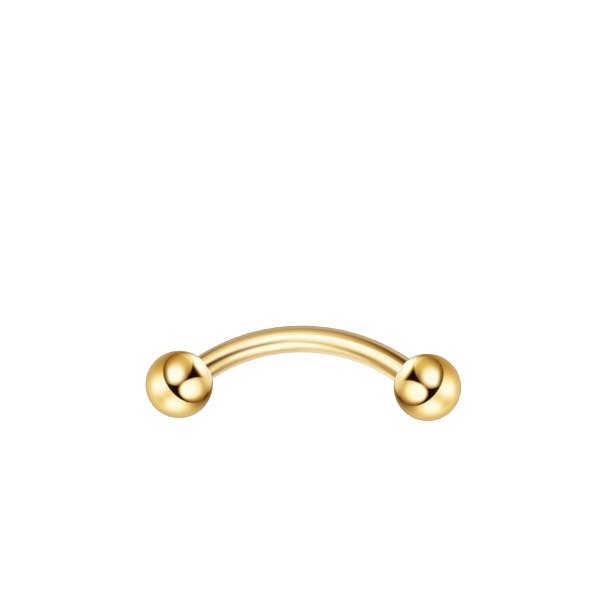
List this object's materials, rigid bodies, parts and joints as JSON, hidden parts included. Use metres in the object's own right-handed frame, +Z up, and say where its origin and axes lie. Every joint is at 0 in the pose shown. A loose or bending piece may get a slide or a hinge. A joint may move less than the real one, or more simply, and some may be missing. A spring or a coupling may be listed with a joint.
{
  "type": "curved eyebrow barbell",
  "caption": "Curved bar with a ball screwed on each threaded end, for an eyebrow piercing. Polished gold colour; lies on its balls and the middle of its bar.",
  "frame": {"origin": "on the surface that the barbell lies on, under the middle of its outline seen from above", "axes": "+X from the left ball to the right one, +Y from the balls towards the middle of the bowed bar, +Z up from the surface"},
  "size_m": [0.014, 0.0042, 0.003],
  "materials": {
    "bar_gold": "surgical steel with a gold-coloured vapour coating, polished to a mirror, with fine lines left along the bar",
    "ball_gold": "surgical steel with a gold-coloured vapour coating, polished to a mirror"
  },
  "bodies": {
    "bar": {"bar": "bar_gold"},
    "ball_left": {"ball_left": "ball_gold"},
    "ball_right": {"ball_right": "ball_gold"}
  },
  "joints": [
    {"name": "left_ball_unscrews", "type": "slide", "parent": "bar", "child": "ball_left", "axis": [-0.8093, -0.5383, 0.2351], "range_m": [0, 0.003]},
    {"name": "right_ball_unscrews", "type": "slide", "parent": "bar", "child": "ball_right", "axis": [0.8093, -0.5383, 0.2351], "range_m": [0, 0.003]}
  ]
}
